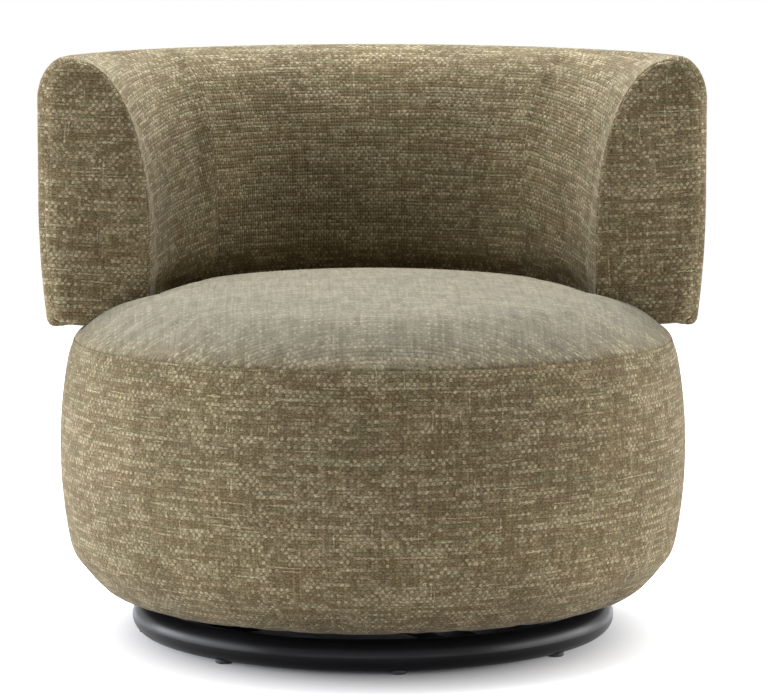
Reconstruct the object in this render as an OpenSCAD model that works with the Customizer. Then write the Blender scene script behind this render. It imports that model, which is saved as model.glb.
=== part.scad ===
// Swivel armchair: a round upholstered drum seat, a C-shaped backrest with flat arm ends,
// and a tubular steel floor ring that carries the seat on a ball race.
// Millimetres. The origin is on the floor at the swivel axis, +Z up, and the front faces -Y.

/* [Overall] */
// Width over the backrest, which is the widest part
chair_w = 760; // [700:1:820]
// How far forward of the swivel axis the backrest's arc has its centre
back_forward = 14; // [0:1:20]

/* [Backrest] */
// Height of the top ridge above the seat seam
back_rise = 321; // [290:1:360]
// Height of the underside above the seat seam
back_lift = 9; // [6:1:18]
// Thickness of the D section at the seat
back_thick = 127; // [115:1:140]
// Distance from the outer face to the top ridge
ridge_in = 36; // [30:1:42]
// Height of the rounded outer top edge
ridge_drop = 45; // [36:1:52]
// Height of the bulging inner face below the ridge
inner_drop = 216; // [190:1:240]
// Fullness of the inner bulge: 2 is an ellipse, more is squarer
inner_fullness = 2.2; // [2:0.05:2.6]
// Height above the underside at which the outer face starts to tuck in
tuck_h = 150; // [130:1:170]
// Radius of the tuck
tuck_r = 800; // [650:10:1000]
// Radius of the lower outer edge
back_edge_r = 12; // [8:1:16]
// Half the angle between the two inner seams
inner_seam_angle = 45; // [38:1:52]

/* [Seat] */
// How far the drum's widest circle lies inside the backrest's outer face
seat_inset = 23; // [18:1:30]
// Height of the drum from its underside to the seam
seat_side_h = 295; // [265:1:320]
// Height of the widest circle above the underside
belly_h = 168; // [150:1:190]
// Radius of the side's bulge, seen in section
bulge_r = 560; // [480:1:700]
// Radius of the lower edge
seat_edge_r = 72; // [62:1:74]
// Height of the crown above the seam
crown_h = 66; // [60:1:75]
// Radius of the crown's shallow middle, seen in section
crown_r = 1700; // [1500:10:2000]
// Radius of the crown's shoulder, seen in section
shoulder_r = 113; // [105:1:120]

/* [Upholstery] */
// Thickness of the woven cover
cover_t = 2.5; // [1.5:0.1:4]
// Width of the cover's hem under the seat board
hem_w = 40; // [25:1:60]
// Thickness of the dust cover under the seat
dust_t = 1; // [0.5:0.1:2]
// Width of a webbing strap
strap_w = 60; // [50:1:70]
// Thickness of a webbing strap
strap_t = 2; // [1:0.1:3]
// Gap between two webbing straps
strap_gap = 30; // [15:1:40]

/* [Seat frame] */
// Thickness of the seat's base board
board_t = 18; // [15:1:22]
// Thickness of the seat's top frame ring
rim_t = 18; // [15:1:22]
// Height from the top of the frame ring to the seam
rim_drop = 34; // [28:1:45]
// Thickness of foam and cover outside the frame ring
rim_padding = 37; // [32:1:42]
// Width of the frame ring's wood
rim_w = 90; // [84:1:95]
// Thickness of the bent side panel
side_panel_t = 4; // [3:0.5:6]
// Side of a square post
post_w = 38; // [30:1:45]
// Number of posts
post_count = 8; // [6:1:10]

/* [Backrest frame] */
// Thickness of the C-shaped base plate
plate_t = 15; // [12:1:18]
// Foam and cover between the base plate and the inner face
plate_cover_inner = 19; // [15:1:25]
// Foam and cover between the base plate and the outer face
plate_cover_outer = 32; // [28:1:40]
// Thickness of the bent shell
shell_t = 10; // [8:1:14]
// Distance from the outer face to the shell
shell_in = 46; // [40:1:55]
// Foam and cover above the shell
shell_cover_top = 50; // [40:1:70]
// Thickness of a rib
rib_t = 12; // [9:1:15]
// Foam between the ribs and the inner face
rib_padding = 26; // [22:1:32]
// Length left free of wood at each arm end
arm_end_free = 30; // [20:1:45]
// Distance from the outer face to the line of risers
riser_in = 80; // [74:1:84]
// Outer radius of a riser tube
riser_r = 15; // [12:0.5:17]
// Wall of a riser tube
riser_wall = 3; // [2:0.5:4]
// Number of risers
riser_count = 5; // [3:1:7]

/* [Floor ring] */
// Radius of the ring to the tube's centre
ring_r = 260; // [235:1:285]
// Outer radius of the ring's tube
tube_r = 17.5; // [15:0.5:20]
// Wall of the ring's tube
tube_wall = 2; // [1.5:0.1:3]
// Height of the ring's tube above the floor
glide_h = 2.5; // [1.5:0.5:5]
// Radius of a glide
glide_r = 10; // [8:0.5:12]
// Radius of a glide's stem
stem_r = 4; // [3:0.5:5]
// Number of glides
glide_count = 8; // [4:1:10]
// Angle by which the base stands turned under the seat
base_turn = 4.5; // [0:0.5:20]
// Width of the cross's flat bars
cross_w = 40; // [30:1:50]
// Thickness of the cross's flat bars
cross_t = 12; // [8:1:14]
// How far the hub plate reaches beyond the races
hub_margin = 4; // [2:0.5:10]
// Thickness of the hub plate
hub_t = 4; // [3:0.5:6]

/* [Swivel] */
// Radius of the circle of balls
pitch_r = 85; // [80:1:88]
// Radius of a ball
ball_r = 4; // [3.5:0.1:4.4]
// Number of balls
ball_count = 24; // [16:1:26]
// Thickness of each race
race_t = 8; // [7:0.5:10]
// Width of each race
race_w = 46; // [40:1:46]
// Gap between the two races
race_gap = 3.5; // [3:0.1:4]
// Thickness of the ball cage
cage_t = 1.5; // [1:0.1:2]
// Width of the ball cage
cage_w = 16; // [14:1:20]
// Radius of the pivot pin
pin_r = 10; // [8:0.5:12]
// Wall of the pivot bush
bush_wall = 4; // [3:0.5:5]
// Thickness of the bush's flange
bush_flange_t = 3; // [2:0.5:4]
// Thickness of the thrust washer
washer_t = 2; // [1.5:0.1:3]
// Thickness of the retaining ring
clip_t = 2; // [1.5:0.1:2.5]
// Radius of a race bolt's shank
race_bolt_r = 3; // [2.5:0.5:4]
// Radius of a riser bolt's shank
riser_bolt_r = 5; // [4:0.5:6]
// Radius of a wood screw's shank
screw_r = 2.5; // [2:0.5:3]
// Length of a wood screw
screw_l = 50; // [40:1:60]

/* [Clearances] */
// Gap between soft pieces, and between foam and what it wraps
soft_gap = 0.3; // [0.2:0.05:0.6]
// Clearance all round a ball in its groove
ball_gap = 0.15; // [0.05:0.05:0.3]
// Radial running clearance of the pin in its bush
run_gap = 0.05; // [0.02:0.01:0.1]
// Clearance round a bolt in its hole
bolt_gap = 0.5; // [0.3:0.1:1]
// Clearance of a seated or welded fit
seat_gap = 0.2; // [0.1:0.05:0.4]

/* [Hidden] */
$fn = 96;

// Colours
fabric_colour = "#8d8062";
foam_colour = "#e3d9b0";
wood_colour = "#c9a46c";
steel_colour = "#9a9da1";
black_colour = "#1c1c1e";
webbing_colour = "#5b5248";
seat_top_colour = "#9a9479";
arm_inner_colour = "#8a7e62";
back_inner_colour = "#7c7056";
cage_colour = "#b89a56";
nylon_colour = "#d8d2c0";
hardboard_colour = "#a98252";

// Heights of the floor ring and the swivel, from the floor up
ring_z = glide_h + tube_r;
cross_z = ring_z - cross_t / 2;
hub_z = cross_z + cross_t;
race_z = hub_z + hub_t;
ball_z = race_z + race_t + race_gap / 2;
upper_race_z = race_z + race_t + race_gap;
board_z = upper_race_z + race_t;
board_top_z = board_z + board_t;

// Directions of the front and of the first glide
front = -90;
first_glide = front + base_turn;

// Radii of the swivel
race_outer_r = pitch_r + race_w / 2;
race_inner_r = pitch_r - race_w / 2;
groove_r = ball_r + ball_gap;
hub_r = race_outer_r + hub_margin;
race_bolt_circle = (pitch_r + groove_r + race_outer_r) / 2;
race_bolt_count = 4;
race_bolt_stop = 1.5;
pin_flange_w = 8;
pin_flange_t = 5;
bush_flange_w = 6;
clip_depth = 1;
clip_w = 4;
clip_gap_angle = 30;
clip_z = board_top_z + bush_flange_t + washer_t + soft_gap;
pin_top_z = clip_z + clip_t + 2 * soft_gap + 3;

// Bolt heads, as shares of the shank's radius
head_ratio = 1.9;
head_t_ratio = 1.3;

// Heights of the seat
under_z = board_z - cover_t;
seam_z = under_z + seat_side_h;
belly_z = under_z + belly_h;
crown_z = seam_z + crown_h;
rim_top_z = seam_z - rim_drop;
rim_z = rim_top_z - rim_t;
webbing_top_z = rim_top_z + 2 * strap_t;
riser_bolt_z = rim_z + head_t_ratio * riser_bolt_r + soft_gap;

// Radii of the seat. The lower edge is an arc that touches the underside and the bulging side.
back_r = chair_w / 2;
seat_r = back_r - seat_inset;
bulge_x = seat_r - bulge_r;
seam_r = bulge_x + sqrt(pow(bulge_r, 2) - pow(seam_z - belly_z, 2));
seat_edge_z = under_z + seat_edge_r;
seat_edge_x = bulge_x + sqrt(pow(bulge_r - seat_edge_r, 2) - pow(belly_z - seat_edge_z, 2));
seat_edge_angle = -asin((belly_z - seat_edge_z) / (bulge_r - seat_edge_r));
rim_r = seat_r - rim_padding;
rim_inner_r = rim_r - rim_w;
board_r = seat_edge_x - soft_gap;
hem_r = board_r - hem_w;
post_reach_r = board_r - side_panel_t - seat_gap;
post_circle = sqrt(pow(post_reach_r, 2) - pow(post_w / 2, 2)) - post_w / 2;
post_screw_offset = post_w / 4;
post_angle = 180 / post_count;
webbing_lap = 18;
webbing_r = rim_inner_r + webbing_lap;
dust_lap = 12;

// The crown: a shallow middle and a rounder shoulder that meet without a corner,
// the shoulder ending on the seam
crown_centre_z = crown_z - crown_r;
seam_distance = norm([seam_r, seam_z - crown_centre_z]);
shoulder_distance = crown_r - shoulder_r;
seam_to_shoulder_angle = acos((pow(shoulder_distance, 2) + pow(seam_distance, 2) - pow(shoulder_r, 2))
    / (2 * shoulder_distance * seam_distance));
join_angle = atan2(seam_z - crown_centre_z, seam_r) + seam_to_shoulder_angle;
shoulder_x = shoulder_distance * cos(join_angle);
shoulder_z = crown_centre_z + shoulder_distance * sin(join_angle);
shoulder_end_angle = atan2(seam_z - shoulder_z, seam_r - shoulder_x);

// Heights and radii of the backrest, whose radii are from its own arc's centre
back_z = seam_z + back_lift;
top_z = seam_z + back_rise;
inner_r = back_r - back_thick;
ridge_x = back_r - ridge_in;
tuck_z = back_z + tuck_h;
tuck_x = back_r - tuck_r;
back_edge_z = back_z + back_edge_r;
back_edge_x = tuck_x + sqrt(pow(tuck_r - back_edge_r, 2) - pow(tuck_z - back_edge_z, 2));
back_edge_angle = -asin((tuck_z - back_edge_z) / (tuck_r - back_edge_r));
plate_z = back_z + cover_t;
plate_top_z = plate_z + plate_t;
plate_inner_r = inner_r + plate_cover_inner;
plate_outer_r = back_r - plate_cover_outer;
shell_outer_r = back_r - shell_in;
shell_inner_r = shell_outer_r - shell_t;
shell_top_z = top_z - shell_cover_top;
riser_circle = back_r - riser_in;
plate_end_angle = asin(arm_end_free / riser_circle);
rib_end_angle = plate_end_angle + asin(rib_t / plate_inner_r);
rib_top_drop = 30;
seam_half_gap = asin(soft_gap / 2 / inner_r);
end_y = -back_forward - soft_gap;
tee_flange_t = 2;
tee_flange_r = 2.4 * riser_bolt_r;
tee_barrel_r = riser_bolt_r + 2;
tee_barrel_l = 10;
riser_bolt_end = 4;

// How far foam lies inside the outer face of its cover
foam_in = cover_t + soft_gap;

// Counts of straight steps that stand for a curve
long_steps = 14;
short_steps = 9;
inner_steps = 22;

// Points on an arc about (x, z), from one angle to the other
function arc(x, z, r, from, to, steps) =
    [for (i = [0 : steps]) let (a = from + (to - from) * i / steps) [x + r * cos(a), z + r * sin(a)]];

function reversed(points) = [for (i = [len(points) - 1 : -1 : 0]) points[i]];

// The drum's outline from its underside up its side. t is the depth inside the outer face.
function drum_side(t, end_z) = concat(
    arc(seat_edge_x, seat_edge_z, seat_edge_r - t, -90, seat_edge_angle, short_steps),
    arc(bulge_x, belly_z, bulge_r - t, seat_edge_angle, asin((end_z - belly_z) / (bulge_r - t)), long_steps));

// The crown's outline from the seam to the axis
function crown(t) = concat(
    arc(shoulder_x, shoulder_z, shoulder_r - t, shoulder_end_angle, join_angle, short_steps),
    arc(0, crown_centre_z, crown_r - t, join_angle, 90, short_steps));

// The backrest's D section: up its outer side to the ridge, then down its bulging inner side
function back_outer_side(t) = concat(
    arc(back_edge_x, back_edge_z, back_edge_r - t, -90, back_edge_angle, short_steps),
    arc(tuck_x, tuck_z, tuck_r - t, back_edge_angle, 0, short_steps),
    [for (i = [0 : short_steps]) let (a = 90 * i / short_steps)
        [ridge_x + (ridge_in - t) * cos(a), top_z - ridge_drop + (ridge_drop - t) * sin(a)]]);

// A quarter of a superellipse, from its top to its inner side. d is the depth inside the outer face.
function inner_bulge(d, steps) =
    [for (i = [0 : steps]) let (a = 90 * i / steps)
        [ridge_x - max(soft_gap, (back_thick - ridge_in - d) * pow(sin(a), 2 / inner_fullness)),
         top_z - inner_drop + (inner_drop - d) * pow(cos(a), 2 / inner_fullness)]];

function back_inner_side(t) = concat(inner_bulge(t, inner_steps), [[inner_r + t, back_z + t]]);

module ring(r_in, r_out, z, h) {
    rotate_extrude()
        translate([r_in, z])
            square([r_out - r_in, h]);
}

module torus(r, tube) {
    rotate_extrude()
        translate([r, 0])
            circle(tube);
}

// Copies of a piece round the axis, the first at the start angle
module around(count, r, start = 0) {
    for (i = [0 : count - 1])
        rotate(start + 360 * i / count)
            translate([r, 0, 0])
                children();
}

// A bolt that points up from z = 0, with its hexagon head below
module bolt(r, length) {
    cylinder(r = r, h = length);
    translate([0, 0, -head_t_ratio * r])
        cylinder(r = head_ratio * r, h = head_t_ratio * r, $fn = 6);
}

// A countersunk screw that points up from z = 0, where its head is flush
module wood_screw(gap) {
    cylinder(r = screw_r + gap, h = screw_l + gap);
    cylinder(r1 = 2 * screw_r + gap, r2 = screw_r + gap, h = screw_r);
}

// The backrest's own place: its arc's centre lies forward of the swivel axis
module at_back() {
    translate([0, -back_forward, 0])
        children();
}

// A section turned round the backrest's arc, from one angle to the other
module sweep(from = 0, to = 180) {
    at_back()
        rotate(from)
            rotate_extrude(angle = to - from)
                children();
}

// Places of the risers, which are spread evenly along the backrest's arc
module at_risers(z) {
    at_back()
        for (i = [0 : riser_count - 1])
            rotate(180 * (i + 0.5) / riser_count)
                translate([riser_circle, 0, z])
                    children();
}

module at_post_screws(z) {
    around(post_count, post_circle, post_angle)
        for (side = [-1, 1])
            translate([side * post_screw_offset, 0, z])
                children();
}

// The room that the backrest takes up in the seat's foam and cover
module backrest_room() {
    front_y = -cover_t - 2 * soft_gap;
    at_back()
        difference() {
            translate([-back_r, front_y, back_z - soft_gap])
                cube([2 * back_r, back_r - front_y, back_rise]);
            cylinder(r = inner_r - soft_gap, h = top_z);
        }
}

// The ring of steel tube that stands on the floor, bored underneath for the glides' stems
module base_ring() {
    color(black_colour)
        difference() {
            translate([0, 0, ring_z])
                torus(ring_r, tube_r);
            translate([0, 0, ring_z])
                torus(ring_r, tube_r - tube_wall);
            around(glide_count, ring_r, first_glide)
                cylinder(r = stem_r + seat_gap, h = ring_z);
        }
}

// Two flat bars crossed and welded inside the ring, their ends cut to fit the tube
module base_cross() {
    color(black_colour)
        difference() {
            rotate(first_glide + 180 / glide_count)
                for (a = [0, 90])
                    rotate(a)
                        translate([-ring_r, -cross_w / 2, cross_z])
                            cube([2 * ring_r, cross_w, cross_t]);
            translate([0, 0, ring_z])
                torus(ring_r, tube_r + seat_gap);
            cylinder(r = pin_r + seat_gap, h = race_z);
        }
}

module hub_plate() {
    color(black_colour)
        difference() {
            ring(pin_r + seat_gap, hub_r, hub_z, hub_t);
            at_lower_race_bolts(0)
                cylinder(r = race_bolt_r + bolt_gap, h = race_z);
        }
}

// The race bolts stand midway between the arms of the cross
module at_lower_race_bolts(z) {
    around(race_bolt_count, race_bolt_circle, first_glide + 180 / glide_count + 180 / race_bolt_count)
        translate([0, 0, z])
            children();
}

module at_upper_race_bolts(z) {
    around(race_bolt_count, race_bolt_circle, 180 / race_bolt_count)
        translate([0, 0, z])
            children();
}

// Round pads that the ring stands on, each with a stem in the tube
module glides() {
    glide_chamfer = 1;
    saddle_h = 2.5;
    stem_in_tube = 6;
    color(black_colour)
        difference() {
            around(glide_count, ring_r, first_glide) {
                cylinder(r1 = glide_r - glide_chamfer, r2 = glide_r, h = glide_chamfer);
                translate([0, 0, glide_chamfer])
                    cylinder(r = glide_r, h = glide_h + saddle_h - glide_chamfer);
            }
            translate([0, 0, ring_z])
                torus(ring_r, tube_r + seat_gap);
        }
    color(black_colour)
        around(glide_count, ring_r, first_glide)
            cylinder(r = stem_r, h = glide_h + tube_wall + stem_in_tube);
}

// A flat ring with a groove for the balls in one face
module race(z) {
    difference() {
        ring(race_inner_r, race_outer_r, z, race_t);
        translate([0, 0, ball_z])
            torus(pitch_r, groove_r);
    }
}

module lower_race() {
    color(steel_colour)
        difference() {
            race(race_z);
            at_lower_race_bolts(0)
                cylinder(r = race_bolt_r + seat_gap, h = race_z + race_t - race_bolt_stop + seat_gap);
        }
}

module lower_race_bolts() {
    color(steel_colour)
        at_lower_race_bolts(hub_z)
            bolt(race_bolt_r, hub_t + race_t - race_bolt_stop);
}

module upper_race() {
    color(steel_colour)
        difference() {
            race(upper_race_z);
            at_upper_race_bolts(upper_race_z + race_bolt_stop - seat_gap)
                cylinder(r = race_bolt_r + seat_gap, h = race_t);
        }
}

module upper_race_bolts() {
    color(steel_colour)
        at_upper_race_bolts(board_top_z)
            mirror([0, 0, 1])
                bolt(race_bolt_r, board_t + race_t - race_bolt_stop);
}

module bearing_balls() {
    color(steel_colour)
        around(ball_count, pitch_r)
            translate([0, 0, ball_z])
                sphere(ball_r);
}

module ball_cage() {
    color(cage_colour)
        difference() {
            ring(pitch_r - cage_w / 2, pitch_r + cage_w / 2, ball_z - cage_t / 2, cage_t);
            around(ball_count, pitch_r)
                translate([0, 0, ball_z - cage_t])
                    cylinder(r = ball_r + seat_gap, h = 2 * cage_t);
        }
}

// The pin that keeps the seat on its races: a flange rests on the hub plate
module pivot_pin() {
    tip_chamfer = 1.5;
    color(steel_colour)
        rotate_extrude()
            polygon([
                [0, cross_z], [pin_r, cross_z], [pin_r, race_z],
                [pin_r + pin_flange_w, race_z], [pin_r + pin_flange_w, race_z + pin_flange_t],
                [pin_r, race_z + pin_flange_t], [pin_r, clip_z], [pin_r - clip_depth, clip_z],
                [pin_r - clip_depth, clip_z + clip_t + 2 * soft_gap], [pin_r, clip_z + clip_t + 2 * soft_gap],
                [pin_r, pin_top_z - tip_chamfer], [pin_r - tip_chamfer, pin_top_z], [0, pin_top_z]
            ]);
}

module retaining_ring() {
    color(steel_colour)
        rotate(clip_gap_angle / 2)
            rotate_extrude(angle = 360 - clip_gap_angle)
                translate([pin_r - clip_depth + seat_gap, clip_z + soft_gap])
                    square([clip_w, clip_t]);
}

module pivot_bush() {
    color(nylon_colour) {
        ring(pin_r + run_gap, pin_r + bush_wall, board_z, board_t);
        ring(pin_r + run_gap, pin_r + bush_wall + bush_flange_w, board_top_z, bush_flange_t);
    }
}

module thrust_washer() {
    color(steel_colour)
        ring(pin_r + seat_gap, pin_r + bush_wall + bush_flange_w, board_top_z + bush_flange_t, washer_t);
}

// The round board that the upper race is bolted to
module seat_base_board() {
    color(wood_colour)
        difference() {
            ring(pin_r + bush_wall + seat_gap, board_r, board_z, board_t);
            at_upper_race_bolts(board_z - board_t)
                cylinder(r = race_bolt_r + bolt_gap, h = 3 * board_t);
            at_post_screws(board_z)
                wood_screw(seat_gap);
        }
}

module seat_posts() {
    color(wood_colour)
        difference() {
            around(post_count, post_circle, post_angle)
                translate([-post_w / 2, -post_w / 2, board_top_z])
                    cube([post_w, post_w, rim_z - board_top_z]);
            at_post_screws(board_z)
                cylinder(r = screw_r + seat_gap, h = screw_l + seat_gap);
            at_post_screws(rim_top_z - screw_l - seat_gap)
                cylinder(r = screw_r + seat_gap, h = screw_l);
        }
}

module seat_side_panel() {
    color(hardboard_colour)
        ring(board_r - side_panel_t, board_r, board_top_z, rim_z - board_top_z);
}

// The frame ring that carries the webbing, and the backrest through its risers.
// The riser bolts' heads are sunk in its underside.
module seat_top_ring() {
    color(wood_colour)
        difference() {
            ring(rim_inner_r, rim_r, rim_z, rim_t);
            at_risers(rim_z - rim_t)
                cylinder(r = riser_bolt_r + bolt_gap, h = 3 * rim_t);
            at_risers(riser_bolt_z - rim_t)
                cylinder(r = head_ratio * riser_bolt_r + bolt_gap, h = rim_t);
            at_post_screws(rim_top_z)
                mirror([0, 0, 1])
                    wood_screw(seat_gap);
        }
}

module post_screws_lower() {
    color(steel_colour)
        at_post_screws(board_z)
            wood_screw(0);
}

module post_screws_upper() {
    color(steel_colour)
        at_post_screws(rim_top_z)
            mirror([0, 0, 1])
                wood_screw(0);
}

// Straps laid side by side and cut off round the frame ring
module webbing(z) {
    pitch = strap_w + strap_gap;
    reach = floor((webbing_r - strap_w / 2) / pitch);
    color(webbing_colour)
        intersection() {
            for (i = [-reach : reach])
                translate([-webbing_r, i * pitch - strap_w / 2, z])
                    cube([2 * webbing_r, strap_w, strap_t]);
            translate([0, 0, z - strap_t])
                cylinder(r = webbing_r, h = 3 * strap_t);
        }
}

module webbing_across() {
    webbing(rim_top_z);
}

module webbing_lengthways() {
    rotate(90)
        webbing(rim_top_z + strap_t);
}

// Foam round the drum's side, from the base board's edge to the seam
module seat_side_foam() {
    foam_top_z = crown(foam_in)[0][1] - soft_gap;
    color(foam_colour)
        rotate_extrude()
            polygon(concat(
                drum_side(foam_in, foam_top_z),
                [[rim_r + soft_gap, foam_top_z], [rim_r + soft_gap, rim_z - soft_gap],
                 [board_r + soft_gap, rim_z - soft_gap], [board_r + soft_gap, under_z + foam_in]]));
}

// The crowned seat cushion, with room for the backrest and its risers
module seat_top_foam() {
    foam_edge_z = crown(foam_in)[0][1];
    color(foam_colour)
        difference() {
            rotate_extrude()
                polygon(concat(
                    crown(foam_in),
                    [[0, webbing_top_z + soft_gap], [webbing_r + soft_gap, webbing_top_z + soft_gap],
                     [webbing_r + soft_gap, rim_top_z + soft_gap], [rim_r, rim_top_z + soft_gap],
                     [rim_r, foam_edge_z]]));
            backrest_room();
            at_risers(rim_top_z)
                cylinder(r = riser_r + soft_gap, h = back_z - rim_top_z);
        }
}

// The side cover, which wraps the lower edge and ends in a hem under the base board
module seat_side_cover() {
    mitre = 1.5 * cover_t;
    color(fabric_colour)
        rotate_extrude()
            polygon(concat(
                [[hem_r, board_z], [hem_r, under_z]],
                drum_side(0, seam_z - soft_gap),
                reversed(drum_side(cover_t, seam_z - mitre))));
}

module seat_top_cover() {
    color(seat_top_colour)
        difference() {
            rotate_extrude()
                polygon(concat(crown(0), reversed(crown(cover_t))));
            backrest_room();
        }
}

module dust_cover() {
    color(black_colour)
        ring(race_outer_r + pin_flange_w, hem_r + dust_lap, under_z - dust_t, dust_t);
}

// Tubes that carry the backrest's base plate on the frame ring
module back_risers() {
    color(steel_colour)
        at_risers(rim_top_z)
            difference() {
                cylinder(r = riser_r, h = plate_z - rim_top_z);
                translate([0, 0, -riser_r])
                    cylinder(r = riser_r - riser_wall, h = plate_z - rim_top_z + 2 * riser_r);
            }
}

module riser_bolts() {
    color(steel_colour)
        at_risers(riser_bolt_z)
            bolt(riser_bolt_r, plate_top_z + riser_bolt_end - riser_bolt_z);
}

module riser_tee_nuts() {
    color(steel_colour)
        at_risers(plate_top_z - tee_barrel_l)
            difference() {
                union() {
                    cylinder(r = tee_barrel_r, h = tee_barrel_l);
                    translate([0, 0, tee_barrel_l])
                        cylinder(r = tee_flange_r, h = tee_flange_t);
                }
                translate([0, 0, -tee_barrel_l])
                    cylinder(r = riser_bolt_r + seat_gap, h = 3 * tee_barrel_l);
            }
}

module back_base_plate() {
    color(wood_colour)
        difference() {
            sweep(plate_end_angle, 180 - plate_end_angle)
                translate([plate_inner_r, plate_z])
                    square([plate_outer_r - plate_inner_r, plate_t]);
            at_risers(plate_z - plate_t)
                cylinder(r = tee_barrel_r + seat_gap, h = 3 * plate_t);
        }
}

// A board bent to the backrest's arc, standing on the base plate
module back_shell() {
    color(wood_colour)
        sweep(plate_end_angle, 180 - plate_end_angle)
            translate([shell_inner_r, plate_top_z])
                square([shell_t, shell_top_z - plate_top_z]);
}

// The section of a rib, or of the room for it in the foam, which is larger by the gap
module rib_section(gap) {
    rib_top_z = shell_top_z - rib_top_drop;
    intersection() {
        polygon(concat(
            inner_bulge(rib_padding - gap, short_steps),
            [[inner_r + rib_padding - gap, plate_top_z], [ridge_x, plate_top_z]]));
        translate([plate_inner_r - gap, plate_top_z])
            square([shell_inner_r - seat_gap - plate_inner_r + gap, rib_top_z + gap - plate_top_z]);
    }
}

module at_ribs() {
    at_back()
        for (i = [0 : riser_count])
            rotate(max(rib_end_angle, min(180 - rib_end_angle, 180 * i / riser_count)))
                children();
}

module rib(gap) {
    rotate([90, 0, 0])
        translate([0, 0, -rib_t / 2 - gap])
            linear_extrude(rib_t + 2 * gap)
                rib_section(gap);
}

module back_ribs() {
    color(wood_colour)
        at_ribs()
            rib(0);
}

// Foam moulded round the backrest's frame
module back_foam() {
    cavity_end = plate_end_angle - asin(soft_gap / inner_r);
    color(foam_colour)
        difference() {
            sweep()
                polygon(concat(back_outer_side(foam_in), back_inner_side(foam_in)));
            sweep(cavity_end, 180 - cavity_end) {
                translate([plate_inner_r - soft_gap, back_z])
                    square([plate_outer_r - plate_inner_r + 2 * soft_gap, plate_top_z + soft_gap - back_z]);
                translate([shell_inner_r - soft_gap, back_z])
                    square([shell_t + 2 * soft_gap, shell_top_z + soft_gap - back_z]);
            }
            at_ribs()
                rib(soft_gap);
            at_risers(plate_top_z)
                cylinder(r = tee_flange_r + soft_gap, h = tee_flange_t + riser_bolt_end);
        }
}

module back_outer_cover() {
    color(fabric_colour)
        sweep()
            polygon(concat(back_outer_side(0), reversed(back_outer_side(cover_t))));
}

// The inner cover's section, which runs from the ridge down to the seat
module inner_cover_section() {
    polygon(concat(back_inner_side(0), reversed(back_inner_side(cover_t))));
}

module back_inner_cover() {
    color(back_inner_colour)
        sweep(90 - inner_seam_angle + seam_half_gap, 90 + inner_seam_angle - seam_half_gap)
            inner_cover_section();
}

module arm_inner_cover_right() {
    color(arm_inner_colour)
        sweep(0, 90 - inner_seam_angle - seam_half_gap)
            inner_cover_section();
}

module arm_inner_cover_left() {
    color(arm_inner_colour)
        sweep(90 + inner_seam_angle + seam_half_gap, 180)
            inner_cover_section();
}

// The flat D-shaped panel on the front of an arm
module arm_end_cover() {
    color(fabric_colour)
        translate([0, end_y, 0])
            rotate([90, 0, 0])
                linear_extrude(cover_t)
                    polygon(concat(back_outer_side(0), back_inner_side(0)));
}

module arm_end_cover_right() {
    arm_end_cover();
}

module arm_end_cover_left() {
    mirror([1, 0, 0])
        arm_end_cover();
}

module back_bottom_cover() {
    color(fabric_colour)
        difference() {
            sweep()
                translate([inner_r + cover_t + soft_gap, back_z])
                    square([back_edge_x - inner_r - cover_t - 2 * soft_gap, cover_t]);
            at_risers(back_z - cover_t)
                cylinder(r = riser_r + soft_gap, h = 3 * cover_t);
        }
}

base_ring();
base_cross();
hub_plate();
glides();
lower_race();
lower_race_bolts();
pivot_pin();
retaining_ring();
ball_cage();
bearing_balls();
upper_race();
upper_race_bolts();
pivot_bush();
thrust_washer();
seat_base_board();
seat_posts();
seat_side_panel();
seat_top_ring();
post_screws_lower();
post_screws_upper();
webbing_across();
webbing_lengthways();
seat_side_foam();
seat_top_foam();
seat_side_cover();
seat_top_cover();
dust_cover();
back_risers();
riser_bolts();
riser_tee_nuts();
back_base_plate();
back_shell();
back_ribs();
back_foam();
back_outer_cover();
back_inner_cover();
arm_inner_cover_left();
arm_inner_cover_right();
arm_end_cover_left();
arm_end_cover_right();
back_bottom_cover();
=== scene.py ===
from math import asin, acos, atan2, cos, degrees, hypot, pi, radians, sin, sqrt

import bpy
import numpy as np
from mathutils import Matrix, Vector


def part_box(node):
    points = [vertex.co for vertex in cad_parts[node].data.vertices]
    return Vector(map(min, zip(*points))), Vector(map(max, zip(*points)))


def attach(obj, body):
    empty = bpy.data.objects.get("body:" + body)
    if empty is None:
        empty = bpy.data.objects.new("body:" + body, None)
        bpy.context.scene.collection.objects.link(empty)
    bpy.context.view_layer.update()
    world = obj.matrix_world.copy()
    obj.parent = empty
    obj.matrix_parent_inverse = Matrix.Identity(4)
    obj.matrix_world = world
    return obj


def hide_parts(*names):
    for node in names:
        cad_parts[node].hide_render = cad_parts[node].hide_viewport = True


# A swivel armchair in a chunky woven tweed: a round drum seat with a crowned cushion, a C-shaped
# backrest whose ends are flat arm fronts, and a low black ring of steel tube on glides.
# Metres, in the row frame: +Z up, the front faces -Y, the swivel axis is the Z axis.

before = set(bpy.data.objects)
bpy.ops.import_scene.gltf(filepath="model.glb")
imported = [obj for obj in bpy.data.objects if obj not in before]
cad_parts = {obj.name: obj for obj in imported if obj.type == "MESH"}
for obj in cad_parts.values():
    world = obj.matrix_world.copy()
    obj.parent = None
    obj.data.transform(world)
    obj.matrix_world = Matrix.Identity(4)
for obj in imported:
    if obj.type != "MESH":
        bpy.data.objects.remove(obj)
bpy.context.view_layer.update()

# Sizes read from the frame
back_low, back_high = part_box("back_outer_cover")
BACK_R = back_high.x
BACK_Y = back_low.y
BACK_Z = back_low.z
TOP_Z = back_high.z
arm_front_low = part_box("arm_end_cover_right")[0]
INNER_R = arm_front_low.x
END_Y = arm_front_low.y
RIDGE_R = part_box("back_inner_cover")[1].y - BACK_Y
band_low, band_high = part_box("seat_side_cover")
SEAT_R = band_high.x
UNDER_Z = band_low.z
cushion_low, cushion_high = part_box("seat_top_cover")
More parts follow.
